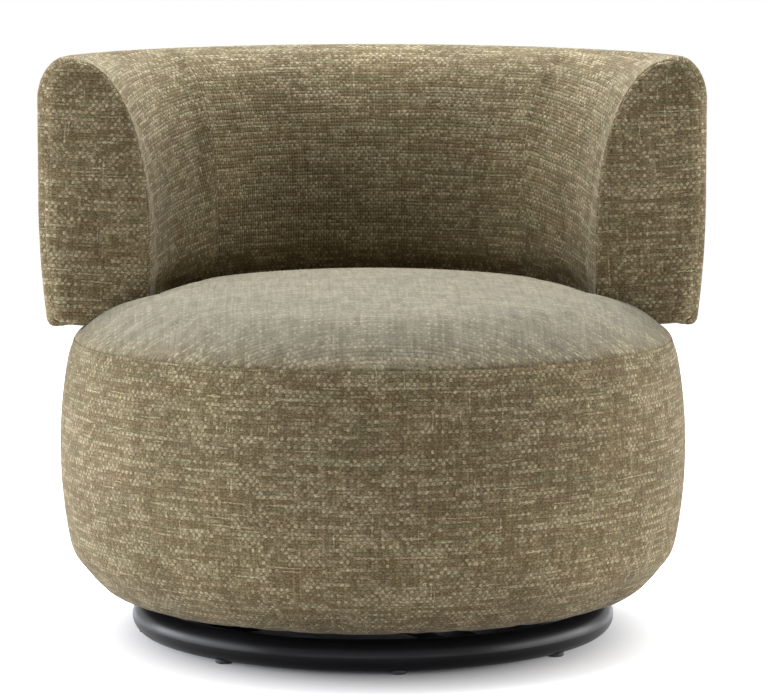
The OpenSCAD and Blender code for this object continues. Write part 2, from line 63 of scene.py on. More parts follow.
SEAM_Z = cushion_low.z
CROWN_Z = cushion_high.z
BOARD_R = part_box("seat_base_board")[1].x

# Sizes of the upholstery's outlines, within 3 mm of the solids'
COVER_T = 0.0025
HEM_W = 0.040                   # of the drum's cover, under the seat board
RIDGE_DROP = 0.050              # from the backrest's top to the end of its outer rounding
INNER_DROP = 0.216              # the same on its inner side
INNER_FULLNESS = 2.2            # exponent of the inner bulge; 2 would be an ellipse
TUCK_H = 0.150                  # from the underside up to where the outer side turns upright
TUCK_R = 1.100
BACK_EDGE_R = 0.012
BELLY_H = 0.168                 # from the drum's underside up to its widest place
BULGE_R = 0.560
SEAT_EDGE_R = 0.072
CROWN_R = 1.700
SHOULDER_R = 0.113
INNER_SEAM_ANGLE = radians(45)  # of the inner side's two seams, from straight behind

# How the covers are sewn
SEAM_DEPTH = 0.0010
SEAM_W = 0.0040
NOTCH_DEPTH = 0.0015
FLAT_SEAM = 0.25                # shares of the depth of a full seam
ARM_RIM_SEAM = 0.15
ARM_INNER_SEAM = 0.6
SEAM_REACH = 0.012              # how far in from a seam the stuffing has its full effect
DRUM_HEM_OUT = 0.0030
DRUM_HEM_H = 0.012
DRUM_PULL = 0.0040
DRUM_PULL_Z = 0.031
DRUM_PULL_W = 0.016
CREASE_R = 0.007                # of the cushion's crease round the backrest
CREASE_GAP = 0.0015
CREASE_HELD = 0.3               # the share of the crease that is held in the simulation
ARM_EDGE_R = 0.009
ARM_OUTER_EDGE_R = 0.022
EDGE_TURN = pi / 4              # how far each cover is rounded over up to the seam on that edge
END_AHEAD = BACK_Y - END_Y
END_REACH = 0.06                # how far behind an arm's front the rounded edge still shows
END_FULL = 0.02                 # up to where it shows in full

# How they are stuffed
ARM_SAG = 0.0045                # how far the top comes down from the middle to the arms
FOOT_R = 0.035                  # rounding of the inner covers down to the cushion
FOOT_TURN = 0.8                 # how far down that rounding goes, as a share of its radius
FOOT_FADE = 0.6                 # where it is full, as a share of the inner radius behind the arms
STUFFED_OUT = 0.0024
STUFFED_LOW = 1.4               # the outer side's fullness at the bottom, and its loss to the top
STUFFED_LOSS = 0.4
ARM_FRONT_CROWN = 0.0035

# Steps of the panels' grids, and the cloth simulation
FINE_STEP = 0.0011
COARSE_STEP = 0.0050
STEP_GROWTH = 1.3
NORMAL_REACH = 0.0015
TINY = 1e-9
TINY_AREA = 1e-12
SIM_STEP = 0.012
SIM_LEAST = 6                   # points across a panel in the simulation
SIM_FRAMES = 20
SIM_QUALITY = 5
SWELL_CAP = 0.005
DRAWN_IN = 0.0025

WEAVE_MAP = "weave"


def linear(colour):
    """A colour written as red, green and blue from 0 to 255, as linear values and an alpha of 1."""
    share = [c / 255 for c in colour]
    return [c / 12.92 if c <= 0.04045 else ((c + 0.055) / 1.055) ** 2.4 for c in share] + [1.0]


class Nodes:
    """The node tree of a material or world, with a short call for each kind of node."""

    def __init__(self, owner):
        owner.use_nodes = True
        self.owner = owner
        self.tree = owner.node_tree
        self.tree.nodes.clear()

    def add(self, kind, sockets=None, **settings):
        """Adds a node. A socket's value is linked if it is another node's output, or else set."""
        node = self.tree.nodes.new("ShaderNode" + kind)
        for setting, value in settings.items():
            setattr(node, setting, value)
        for socket, value in (sockets or {}).items():
            if isinstance(value, bpy.types.NodeSocket):
                self.tree.links.new(value, node.inputs[socket])
            else:
                node.inputs[socket].default_value = value
        return node

    def math(self, operation, *values):
        return self.add("Math", dict(enumerate(values)), operation=operation).outputs[0]

    def times(self, value, factor):
        return self.math("MULTIPLY", value, factor)

    def scaled(self, value, scale, shift):
        return self.math("MULTIPLY_ADD", value, scale, shift)

    def distance(self, x, y):
        return self.math("SQRT", self.math("ADD", self.times(x, x), self.times(y, y)))

    def smooth(self, value, low, high, to_low=0.0, to_high=1.0):
        """A smooth step from to_low at low to to_high at high."""
        sockets = {"Value": value, "From Min": low, "From Max": high, "To Min": to_low,
                   "To Max": to_high}
        return self.add("MapRange", sockets, interpolation_type="SMOOTHSTEP").outputs[0]

    def mix(self, share, a, b, blend="MIX"):
        sockets = {0: share, 6: a, 7: b}
        return self.add("Mix", sockets, data_type="RGBA", blend_type=blend).outputs[2]

    def join(self, x, y=0.0, z=0.0):
        return self.add("CombineXYZ", {0: x, 1: y, 2: z}).outputs[0]

    def split(self, vector):
        return self.add("SeparateXYZ", {0: vector}).outputs

    def toned(self, colour, tone):
        """A colour times a grey."""
        return self.mix(1.0, colour, self.join(tone, tone, tone), "MULTIPLY")

    def solid_place(self):
        return self.add("TexCoord").outputs["Object"]

    def noise(self, place, scale, detail=2.0, roughness=0.5, output=0, **settings):
        sockets = {"Vector": place, "Scale": scale, "Detail": detail, "Roughness": roughness}
        return self.add("TexNoise", sockets, **settings).outputs[output]

    def streaks(self, x, y, detail, dimensions="2D"):
        """Noise over two axes that are scaled by themselves, which draws it out along one."""
        return self.noise(self.join(x, y), scale=1.0, detail=detail, noise_dimensions=dimensions)

    def bump(self, height, strength, distance):
        sockets = {"Strength": strength, "Distance": distance, "Height": height}
        return self.add("Bump", sockets).outputs[0]

    def seen(self):
        """1 for rays from the camera, straight or by a reflection or a clear body, or else 0."""
        path = self.add("LightPath").outputs
        direct = self.math("MAXIMUM", path["Is Camera Ray"], path["Is Glossy Ray"])
        return self.math("MAXIMUM", direct, path["Is Transmission Ray"])

    def surface(self, **sockets):
        """Adds the surface shader, with its sockets' names written with underscores."""
        named = {name.replace("_", " "): value for name, value in sockets.items()}
        self.add("OutputMaterial", {0: self.add("BsdfPrincipled", named).outputs[0]})
        return self.owner


def new_material(name):
    return Nodes(bpy.data.materials.new(name))


# The tweed: a plain weave of thick yarns, light slubby weft over olive-brown warp. Its places are
# u along the weft and v along the warp, and places within a yarn are in pitches, -0.5 to 0.5.

WARP_PITCH = 0.00375
WEFT_PITCH = 0.00418
YARN_T = 0.0011
WARP_W = 0.95                   # widths of the yarns, in pitches, and what a slub adds
WEFT_W = 0.70
SLUB_W = 0.30
CRIMP = 0.5                     # how far the yarns wave up and down, and how round they are
WEFT_ROUND = 0.5
WARP_ROUND = 0.45
WAVER = (0.006, 0.005)          # how far yarns wander, and their small unevenness, in u and v
UNEVEN = (0.0035, 0.0020)
SPECK = 0.20
FUZZ = 0.12

# Scales of its noises, in waves a metre
WAVER_SCALE = 16.0
UNEVEN_SCALE = 330.0
STRETCH_SCALE = 15.0
SLUB_SCALE = 64.0
HUE_SCALE = 11.0
WARP_SCALE = 14.0
GRAIN_SCALE = (380.0, 720.0)
FLOAT_SCALE = 17.0
PATCH_SCALE = 9.0
FUZZ_SCALE = 1500.0
PAINTED_SHEEN_STREAK_SCALE = (260.0, 13.0)
PAINTED_SHEEN_BLOT_SCALE = (75.0, 28.0)

# How far apart neighbouring yarns read their tones in a noise, in waves, and where they start
STRETCH_APART = 7.31
SLUB_APART = 9.17
SLUB_START = 20.0
HUE_APART = 3.77
HUE_START = 40.0
WARP_APART = 5.13
WARP_START = 90.0
WEFT_FLOAT_APART = 11.3
WARP_FLOAT_APART = 17.9
FLOAT_START = 7.0

# Where its noises turn from one tone to the next, and how much of a tone they give
STRETCH_SHARE = 0.55
SLUB_SHARE = 0.45
SLUB_STEP = (0.50, 0.70)
LIGHT_STEP = (0.40, 0.64)
GREEN_STEP = (0.54, 0.68)
GREEN_SHARE = 0.38
RUSTY_STEP = (0.46, 0.33)
RUSTY_SHARE = 0.35
WARP_STEP = (0.35, 0.65)
OVER_STEP = (-0.45, 0.60)
OVER_SHARES = (0.26, 0.70)
WEFT_FLOAT_FROM = 0.68
WARP_FLOAT_FROM = 0.73
FLOAT_FADE = 0.05
FLOAT_SHARE = 0.5
THREAD_STEP = (0.18, 0.04)
GAP_SHADE_STEP = (0.0, 0.75)
GAP_SHADE_TONES = (0.66, 1.04)
PATCH_STEP = (0.3, 0.7)
PATCH_TONES = (0.90, 1.10)
GRAIN_STEP = (0.25, 0.75)
GRAIN_TONES = (0.55, 1.49)

DARK_WEFT = (109, 95, 66)
LIGHT_WEFT = (174, 162, 130)
GREEN_WEFT = (109, 113, 80)
RUSTY_WEFT = (124, 97, 73)
DARK_WARP = (86, 73, 48)
LIGHT_WARP = (109, 95, 67)
FLOAT_TONE = (182, 173, 140)
SHEEN_TINT = (250, 252, 255)
TWEED_SHEEN = 0.06

# Painted sheen: a pale grey in the cushion cloth's colour, for its whitish sheen under the top light
PAINTED_SHEEN_TONE = (121, 119, 104)
PAINTED_SHEEN_SHARE = 0.58
PAINTED_SHEEN_RIM_SHARE = 0.05
PALE_SHEEN = 0.08
PAINTED_SHEEN_MOTTLE_STEP = (0.75, 1.25)
PAINTED_SHEEN_MOTTLE_TONES = (0.78, 1.22)
PAINTED_SHEEN_R = 0.310                  # where the painted sheen starts to fade
PAINTED_SHEEN_FADE_OUT = 0.015           # how far past the seam it would end


def yarn_round(s, across, width):
    """The height of a round yarn over its middle, from its place across."""
    share = s.math("DIVIDE", s.times(across, 2.0), width)
    return s.math("SQRT", s.math("MAXIMUM", s.math("SUBTRACT", 1.0, s.times(share, share)), 0.0))


def paint_cushion_sheen(s, u, v, colour):
    """Painted sheen: a pale grey over the cushion's colour that stands in for its cloth's whitish
    sheen under the top light, with blurred streaks along the warp. It fades out towards the seam."""
    streaks, blots = (
        s.streaks(s.times(u, across), s.times(v, along), detail=detail, dimensions="3D")
        for (across, along), detail in ((PAINTED_SHEEN_STREAK_SCALE, 2.0), (PAINTED_SHEEN_BLOT_SCALE, 3.0)))
    mottle = s.smooth(s.math("ADD", streaks, blots), *PAINTED_SHEEN_MOTTLE_STEP, *PAINTED_SHEEN_MOTTLE_TONES)
    x, y, z = s.split(s.solid_place())
    share = s.smooth(s.distance(x, y), PAINTED_SHEEN_R, SEAM_R + PAINTED_SHEEN_FADE_OUT, PAINTED_SHEEN_SHARE, PAINTED_SHEEN_RIM_SHARE)
    return s.mix(share, colour, s.toned(linear(PAINTED_SHEEN_TONE), mottle))


def tweed(name, sheen, with_painted_sheen):
    """The cloth. The cushion's has painted sheen, a pale grey, over the same weave."""
    s = new_material(name)
    place = s.add("UVMap", uv_map=WEAVE_MAP).outputs[0]

    def nudged(value, push, amount):
        return s.math("MULTIPLY_ADD", s.math("SUBTRACT", push, 0.5), amount, value)

    # Yarns waver a little and are uneven
    waver = s.split(s.noise(place, scale=WAVER_SCALE, detail=6.0, roughness=0.62, output=1))
    uneven = s.split(s.noise(place, scale=UNEVEN_SCALE, detail=2.0, output=1))
    axes = s.split(place)
    u, v = (nudged(nudged(axes[k], waver[k], WAVER[k]), uneven[k], UNEVEN[k]) for k in (0, 1))
    in_columns = s.math("DIVIDE", u, WARP_PITCH)
    in_rows = s.math("DIVIDE", v, WEFT_PITCH)
    column = s.math("FLOOR", in_columns)
    row = s.math("FLOOR", in_rows)
    across = s.math("SUBTRACT", s.math("SUBTRACT", in_columns, column), 0.5)
    along = s.math("SUBTRACT", s.math("SUBTRACT", in_rows, row), 0.5)
    parity = s.math("FLOORED_MODULO", s.math("ADD", column, row), 2.0)
    side = s.scaled(parity, -2.0, 1.0)

    # Tones along each weft and warp yarn: light stretches, shorter slubs and the fibres' grain
    stretch = s.streaks(s.times(u, STRETCH_SCALE), s.times(row, STRETCH_APART), detail=1.0)
    slubs = s.streaks(s.times(u, SLUB_SCALE), s.scaled(row, SLUB_APART, SLUB_START), detail=2.0)
    weft_tone = s.scaled(stretch, STRETCH_SHARE, s.times(slubs, SLUB_SHARE))
    weft_hue = s.streaks(s.times(u, HUE_SCALE), s.scaled(row, HUE_APART, HUE_START), detail=1.0)
    warp_tone = s.streaks(s.scaled(column, WARP_APART, WARP_START), s.times(v, WARP_SCALE),
                          detail=2.0)
    grain = s.streaks(s.times(u, GRAIN_SCALE[0]), s.times(v, GRAIN_SCALE[1]), detail=2.0)
    speck = s.add("TexWhiteNoise", {"Vector": s.join(column, row)}, noise_dimensions="2D")

    # Heights of the two yarns where they cross
    def lift(yarn_place, amount):
        return s.times(s.math("COSINE", s.times(yarn_place, pi)), s.times(side, amount))

    weft_width = s.scaled(s.smooth(slubs, *SLUB_STEP), SLUB_W, WEFT_W)
    weft_h = s.scaled(yarn_round(s, along, weft_width), WEFT_ROUND, lift(across, CRIMP))
    warp_h = s.scaled(yarn_round(s, across, WARP_W), WARP_ROUND, lift(along, -CRIMP))
    weft_over = s.smooth(s.math("SUBTRACT", weft_h, warp_h), *OVER_STEP, *OVER_SHARES)
    height = s.math("MAXIMUM", weft_h, warp_h)

    # Colours of the yarns
    light = s.math("ADD", weft_tone, s.scaled(speck.outputs[0], SPECK, -SPECK / 2))
    weft = s.mix(s.smooth(light, *LIGHT_STEP), linear(DARK_WEFT), linear(LIGHT_WEFT))
    weft = s.mix(s.smooth(weft_hue, *GREEN_STEP, to_high=GREEN_SHARE), weft, linear(GREEN_WEFT))
    weft = s.mix(s.smooth(weft_hue, *RUSTY_STEP, to_high=RUSTY_SHARE), weft, linear(RUSTY_WEFT))
    warp = s.mix(s.smooth(warp_tone, *WARP_STEP), linear(DARK_WARP), linear(LIGHT_WARP))
    colour = s.mix(weft_over, warp, weft)

    # Fine bright threads that float over the weave for a few centimetres
    for at, yarn, line, apart, least in (
            (u, row, along, WEFT_FLOAT_APART, WEFT_FLOAT_FROM),
            (v, column, across, WARP_FLOAT_APART, WARP_FLOAT_FROM)):
        tone = s.streaks(s.times(at, FLOAT_SCALE), s.scaled(yarn, apart, FLOAT_START), detail=1.0)
        thread = s.smooth(s.math("ABSOLUTE", line), *THREAD_STEP)
        shown = s.times(s.smooth(tone, least, least + FLOAT_FADE, to_high=FLOAT_SHARE), thread)
        colour = s.mix(shown, colour, linear(FLOAT_TONE))

    # Gaps between yarns get painted shade, the fibres are grainy, and the cloth is a little patchy
    # depth is painted shade: darker where the yarns lie low, in the gaps between them
    depth = s.smooth(height, *GAP_SHADE_STEP, *GAP_SHADE_TONES)
    patch = s.smooth(s.noise(place, scale=PATCH_SCALE, detail=3.0), *PATCH_STEP, *PATCH_TONES)
    grainy = s.smooth(grain, *GRAIN_STEP, *GRAIN_TONES)
    colour = s.toned(colour, s.times(s.times(depth, patch), grainy))
    # The cushion's cloth gets painted sheen: a pale grey laid over its colour
    if with_painted_sheen:
        colour = paint_cushion_sheen(s, u, v, colour)

    relief = s.scaled(s.noise(place, scale=FUZZ_SCALE, detail=2.0), FUZZ, height)
    return s.surface(Base_Color=colour, Roughness=0.9, Specular_IOR_Level=0.2,
                     Normal=s.bump(relief, strength=0.45, distance=YARN_T),
                     Sheen_Weight=sheen, Sheen_Roughness=0.4, Sheen_Tint=linear(SHEEN_TINT))


# Finishes of the pieces that the frame brings

def black_steel():
    """Satin black powder coat with its fine orange peel."""
    s = new_material("black_powder_coat")
    place = s.solid_place()
    peel = s.noise(place, scale=900.0, detail=3.0)
    cloud = s.noise(place, scale=14.0, detail=4.0)
    colour = s.mix(cloud, linear((13, 13, 15)), linear((20, 20, 23)))
    rough = s.smooth(cloud, 0.3, 0.7, to_low=0.30, to_high=0.38)
    return s.surface(Base_Color=colour, Roughness=rough, Specular_IOR_Level=0.16,
                     Normal=s.bump(peel, strength=0.10, distance=0.0004))


def plastic(name, dark, light, roughness):
    s = new_material(name)
    place = s.solid_place()
    grain = s.noise(place, scale=1400.0, detail=2.0)
    colour = s.mix(s.noise(place, scale=60.0, detail=3.0), linear(dark), linear(light))
    return s.surface(Base_Color=colour, Roughness=roughness,
                     Normal=s.bump(grain, strength=0.15, distance=0.0002))


def metal(name, dark, light, roughness):
    """Turned or zinc-plated metal with fine marks round the swivel axis."""
    s = new_material(name)
    place = s.solid_place()
    x, y, z = s.split(place)
    radius = s.distance(x, y)
    turned = s.streaks(s.times(radius, 4000.0), s.times(z, 60.0), detail=2.0, dimensions="3D")
    stain = s.noise(place, scale=40.0, detail=4.0)
    return s.surface(Base_Color=s.mix(stain, linear(dark), linear(light)), Metallic=1.0,
                     Roughness=s.scaled(stain, 0.15, roughness),
                     Normal=s.bump(turned, strength=0.12, distance=0.0002))


def wood(name, dark, light):
    """Plywood or beech: growth rings stretched along the grain, with fine pores."""
    s = new_material(name)
    x, y, z = s.split(s.solid_place())

    def grained(lengthways, across, **settings):
        place = s.join(s.times(x, lengthways), s.times(y, across), s.times(z, across))
        return s.noise(place, scale=1.0, **settings)

    rings = grained(3.0, 38.0, detail=6.0, roughness=0.6)
    pores = grained(60.0, 1500.0, detail=2.0)
    colour = s.mix(s.smooth(rings, 0.35, 0.65), linear(dark), linear(light))
    colour = s.mix(s.smooth(pores, 0.60, 0.75, to_high=0.4), colour, linear(dark))
    return s.surface(Base_Color=colour, Roughness=0.6,
                     Normal=s.bump(pores, strength=0.25, distance=0.0003))


RIB_TURN = 2200.0               # radians a metre


def woven_strap():
    """Elastic webbing: two sets of fine ribs that cross."""
    s = new_material("webbing")
    x, y, z = s.split(s.solid_place())
    ribs = s.math("SINE", s.times(s.math("ADD", x, y), RIB_TURN))
    cross = s.math("SINE", s.times(s.math("SUBTRACT", x, y), RIB_TURN))
    weave = s.scaled(s.times(ribs, cross), 0.5, 0.5)
    return s.surface(Base_Color=s.mix(weave, linear((58, 50, 42)), linear((104, 92, 76))),
                     Roughness=0.85, Normal=s.bump(weave, strength=0.5, distance=0.0005))


def black_cloth():
    """Spun dust cloth: matted black fibres."""
    s = new_material("dust_cloth")
    fibres = s.noise(s.solid_place(), scale=700.0, detail=4.0, roughness=0.7)
    return s.surface(Base_Color=s.mix(fibres, linear((14, 14, 15)), linear((40, 40, 42))),
                     Roughness=0.95, Normal=s.bump(fibres, strength=0.5, distance=0.0004))


# Outlines, as points (radius, height) walked anticlockwise, so that the outer side is on the right

CURVE_POINTS = 90
BULGE_POINTS = 300


def arc(x, z, r, start, end):
    turn = np.radians(np.linspace(start, end, CURVE_POINTS))
    return np.stack([x + r * np.cos(turn), z + r * np.sin(turn)], 1)


def seat_side_outline():
    """From the hem under the board, round the lower edge and up the bulging side to the seam."""
    belly_z = UNDER_Z + BELLY_H
    bulge_x = SEAT_R - BULGE_R
    edge_z = UNDER_Z + SEAT_EDGE_R
    edge_x = bulge_x + sqrt((BULGE_R - SEAT_EDGE_R) ** 2 - (belly_z - edge_z) ** 2)
    edge_angle = -degrees(asin((belly_z - edge_z) / (BULGE_R - SEAT_EDGE_R)))
    seam_angle = degrees(asin((SEAM_Z - belly_z) / BULGE_R))
    hem = [[BOARD_R - HEM_W, UNDER_Z]]
    return np.concatenate([hem, arc(edge_x, edge_z, SEAT_EDGE_R, -90, edge_angle),
                           arc(bulge_x, belly_z, BULGE_R, edge_angle, seam_angle)[1:]])


SEAM_R = seat_side_outline()[-1][0]


def crown_height(r):
    """The height of the cushion's crown at a distance from the axis. It has a shallow middle and a
    rounder shoulder."""
    centre_z = CROWN_Z - CROWN_R
    to_seam = hypot(SEAM_R, SEAM_Z - centre_z)
    to_shoulder = CROWN_R - SHOULDER_R
    squares = to_shoulder ** 2 + to_seam ** 2 - SHOULDER_R ** 2
    between = acos(squares / (2 * to_shoulder * to_seam))
    join = atan2(SEAM_Z - centre_z, SEAM_R) + between
    shoulder_x = to_shoulder * cos(join)
    shoulder_z = centre_z + to_shoulder * sin(join)
    middle = centre_z + np.sqrt(CROWN_R ** 2 - r ** 2)
    rounding = np.maximum(SHOULDER_R ** 2 - (r - shoulder_x) ** 2, 0)
    return np.where(r < CROWN_R * cos(join), middle, shoulder_z + np.sqrt(rounding))


def back_outer_outline():
    """From the underside round the lower edge, up the tucked outer side and over to the ridge."""
    tuck_z = BACK_Z + TUCK_H
    tuck_x = BACK_R - TUCK_R
    edge_z = BACK_Z + BACK_EDGE_R
    edge_x = tuck_x + sqrt((TUCK_R - BACK_EDGE_R) ** 2 - (tuck_z - edge_z) ** 2)
    edge_angle = -degrees(asin((tuck_z - edge_z) / (TUCK_R - BACK_EDGE_R)))
    turn = np.linspace(0, pi / 2, CURVE_POINTS)
    rounding = np.stack([RIDGE_R + (BACK_R - RIDGE_R) * np.cos(turn),
                         TOP_Z - RIDGE_DROP + RIDGE_DROP * np.sin(turn)], 1)
    return np.concatenate([arc(edge_x, edge_z, BACK_EDGE_R, -90, edge_angle),
                           arc(tuck_x, tuck_z, TUCK_R, edge_angle, 0)[1:], rounding])


def back_inner_outline():
    """From the ridge down the bulging inner side to the seat."""
    turn = np.linspace(0, pi / 2, BULGE_POINTS)
    bulge = np.stack([RIDGE_R - (RIDGE_R - INNER_R) * np.sin(turn) ** (2 / INNER_FULLNESS),
                      TOP_Z - INNER_DROP + INNER_DROP * np.cos(turn) ** (2 / INNER_FULLNESS)], 1)
    return np.concatenate([bulge, [[INNER_R, BACK_Z]]])


def back_under_outline():
    """Along the underside, from the inner face to the lower edge."""
    return np.array([[INNER_R, BACK_Z], [back_outer_outline()[0][0], BACK_Z]])


def lengths(points):
    """The distance walked along the points up to each of them."""
    return np.concatenate([[0], np.cumsum(np.hypot(*np.diff(points, axis=0).T))])


def walk(outline, places):
    """Points and outward normals at shares of an outline's length."""
    walked = lengths(outline)
    at = places * walked[-1]
    points = np.stack([np.interp(at, walked, outline[:, k]) for k in (0, 1)], 1)
    ahead = np.stack([np.interp(at + NORMAL_REACH, walked, outline[:, k]) for k in (0, 1)], 1)
    behind = np.stack([np.interp(at - NORMAL_REACH, walked, outline[:, k]) for k in (0, 1)], 1)
    step = ahead - behind
    step /= np.maximum(np.hypot(step[:, 0], step[:, 1]), TINY)[:, None]
    return points, np.stack([step[:, 1], -step[:, 0]], 1)


# Grids of points and the meshes made of them

def spaced(length):
    """Shares of a length from 0 to 1, close together at both ends, where the seams are."""
    places = [0.0]
    step = FINE_STEP
    while places[-1] < length / 2:
        places.append(places[-1] + step)
        step = min(step * STEP_GROWTH, COARSE_STEP)
    half = np.array(places) / places[-1] / 2
    return np.concatenate([half, 1 - half[-2::-1]])


def seam_distance(share, length):
    """How far each share of a length is from the nearer end, in metres."""
    return np.minimum(share, 1 - share) * length


def grid_faces(rows, columns):
    at = np.arange(rows * columns).reshape(rows, columns)
    return np.stack([at[:-1, :-1], at[1:, :-1], at[1:, 1:], at[:-1, 1:]], -1).reshape(-1, 4)


def border(rows, columns):
    """The grid's edge points in order, once round."""
    at = np.arange(rows * columns).reshape(rows, columns)
    return np.concatenate([at[:-1, 0], at[-1, :-1], at[:0:-1, -1], at[0, :0:-1]])


def faces_outward(points, faces, normals):
    """Whether the faces wind so that they look along the normals."""
    a, b, c = (points[faces[:, k]] for k in (0, 1, 2))
    return np.sum(np.cross(b - a, c - b) * normals[faces[:, 0]]) > 0


def mesh_of(name, points, faces):
    mesh = bpy.data.meshes.new(name)
    mesh.from_pydata(points.tolist(), [], faces.tolist())
    mesh.polygons.foreach_set("use_smooth", [True] * len(mesh.polygons))
    made = bpy.data.objects.new(name, mesh)
    bpy.context.scene.collection.objects.link(made)
    return made


def shell(name, points, normals, weave):
    """A closed cover: the outer face, an inner face below it, and the edge between them."""
    rows, columns = points.shape[:2]
    outer = points.reshape(-1, 3)
    along = normals.reshape(-1, 3)
    count = len(outer)
    faces = grid_faces(rows, columns)
    edge = border(rows, columns)
    if not faces_outward(outer, faces, along):
        faces = faces[:, ::-1]
        edge = edge[::-1]
    after = np.roll(edge, -1)
    rim = np.stack([after, edge, edge + count, after + count], 1)
    every = np.concatenate([faces, faces[:, ::-1] + count, rim])
    made = mesh_of(name, np.concatenate([outer, outer - along * COVER_T]), every)
    layer = made.data.uv_layers.new(name=WEAVE_MAP)
    flat = np.concatenate([weave.reshape(-1, 2)] * 2)
    layer.uv.foreach_set("vector", flat[every.ravel()].astype(np.float32).ravel())
    return made


# Padding: the cover is simulated as cloth over its foam, held at its seams

def spline_shares(places, count):
    """How much each of count evenly spaced values gives to each place from 0 to 1, as a cubic."""
    at = np.clip(places, 0, 1) * (count - 1)
    base = np.clip(np.floor(at).astype(int), 0, count - 2)
    f = at - base
    shares = np.zeros((len(places), count))
    pieces = ((-1, (1 - f) ** 3), (0, 3 * f ** 3 - 6 * f ** 2 + 4),
              (1, -3 * f ** 3 + 3 * f ** 2 + 3 * f + 1), (2, f ** 3))
    for offset, share in pieces:
        np.add.at(shares, (np.arange(len(places)), np.clip(base + offset, 0, count - 1)), share / 6)
    return shares


def simulate(name, points, normals, held, pressure, slack):
    """Blows a cloth of these points outward, and gives how far each moved along its normal."""
    rows, columns = points.shape[:2]
    flat = points.reshape(-1, 3)
    faces = grid_faces(rows, columns)
    if not faces_outward(flat, faces, normals.reshape(-1, 3)):
        faces = faces[:, ::-1]
    cloth = mesh_of(name + "_cloth", flat, faces)
    group = cloth.vertex_groups.new(name="held")
    group.add(np.flatnonzero(held.ravel()).tolist(), 1.0, "REPLACE")
    modifier = cloth.modifiers.new("cloth", "CLOTH")
    settings = modifier.settings
    settings.vertex_group_mass = "held"
    settings.use_pressure = True
    settings.uniform_pressure_force = pressure
    settings.shrink_min = -slack
    settings.quality = SIM_QUALITY
    settings.effector_weights.gravity = 0
    modifier.point_cache.frame_start = 1
    modifier.point_cache.frame_end = SIM_FRAMES
    for step in range(1, SIM_FRAMES + 1):
        bpy.context.scene.frame_set(step)
    shown = cloth.evaluated_get(bpy.context.evaluated_depsgraph_get()).to_mesh()
    moved = np.zeros(len(flat) * 3, np.float32)
    shown.vertices.foreach_get("co", moved)
    bpy.context.scene.frame_set(1)
    bpy.data.objects.remove(cloth)
    outward = np.sum((moved.reshape(-1, 3) - flat) * normals.reshape(-1, 3), 1)
    return np.clip(outward, -SWELL_CAP, SWELL_CAP).reshape(rows, columns)


def swell(name, place, size, u, v, held, pressure, slack, give):
    """How far the cover stands out of its drawn-in shape at each point of the fine grid. Give is
    the share of the simulated movement that is taken: a cover stretched tight gives less."""
    coarse_u, coarse_v = (
        np.linspace(0, 1, max(SIM_LEAST, round(length / SIM_STEP) + 1)) for length in size)
    points, normals = place(coarse_u, coarse_v)
    pinned = np.zeros(points.shape[:2], bool)
    pinned[[0, -1], :] = True
    pinned[:, [0, -1]] = True
    if held is not None:
        pinned |= held(points)
    moved = simulate(name, points - normals * DRAWN_IN, normals, pinned, pressure, slack)
    smooth = spline_shares(v, len(coarse_v)) @ moved @ spline_shares(u, len(coarse_u)).T
    return (DRAWN_IN + (smooth - DRAWN_IN) * give) * fade_in(u, v, size)


def fade_in(u, v, size):
    """From 0 at the seams to 1 a finger's width inside them."""
    across = np.clip(seam_distance(u, size[0]) / SEAM_REACH, 0, 1)
    along = np.clip(seam_distance(v, size[1]) / SEAM_REACH, 0, 1)
    share = np.minimum(across[None, :], along[:, None])
    return share * share * (3 - 2 * share)


def valley(u, v, size, seams):
    """The depth of the valleys that the seams make along the four sides. Seams holds the share of
    the full depth for the first and last column and the first and last row."""
    depths = []
    for places, length, first, last in ((u, size[0], *seams[:2]), (v, size[1], *seams[2:])):
        near = seam_distance(places, length)
        depth = SEAM_DEPTH * np.exp(-(near / SEAM_W) ** 2) + NOTCH_DEPTH * (near < FINE_STEP / 2)
        depths.append(depth * np.where(places < 0.5, first, last))
    return np.maximum(depths[0][None, :], depths[1][:, None])


def dress(name, place, size, weave_at, node_names, held=None, pressure=4.0, slack=0.01, give=1.0,
          extra=None, seams=(1, 1, 1, 1), cloth=None):
    """Held says which of its points are held in the simulation besides the seams, and extra moves the
    points further out."""
    u = spaced(size[0])
    v = spaced(size[1])
    points, normals = place(u, v)
    swollen = swell(name, place, size, u, v, held, pressure, slack, give)
    out = swollen - DRAWN_IN * fade_in(u, v, size)
    out -= valley(u, v, size, seams)
    if extra is not None:
        out += extra(points, u, v)
    weave = weave_at(u, v, points)
    made = shell(name, points + normals * out[..., None], normals, weave)
    made.data.materials.append(cloth or TWEED)
    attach(made, "seat")
    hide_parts(*node_names)


# Places of the panels. Each takes shares along and up a panel and gives points and outward normals.

MEAN_INNER_R = (INNER_R + RIDGE_R) / 2


def arm_edge_radius(x):
    """The radius of the arm front's rounded edge, which is larger on the outer side."""
    share = np.clip((x - MEAN_INNER_R) / (BACK_R - MEAN_INNER_R), 0, 1)
    return ARM_EDGE_R + (ARM_OUTER_EDGE_R - ARM_EDGE_R) * share * share * (3 - 2 * share)


def round_arm_edge(s, radius):
    """From the distance walked from the arm's end seam and the edge's radius: the distance behind
    the end plane, how far the cover lies inside its own face, and how far its normal has turned
    forward."""
    turn = np.maximum(EDGE_TURN - s / radius, 0)
    near = np.clip((END_REACH - s) / (END_REACH - END_FULL), 0, 1)
    settled = s + (ARM_EDGE_R + (radius - ARM_EDGE_R) * near) * (1 - EDGE_TURN)
    behind = np.where(turn > 0, radius * (1 - np.sin(turn)), settled)
    return behind, radius * (1 - np.cos(turn)), turn


def sagged(z, share):
    """A height on the backrest, whose top comes down a little from the middle to the arms."""
    return z - ARM_SAG * share * (z - BACK_Z) / (TOP_Z - BACK_Z)


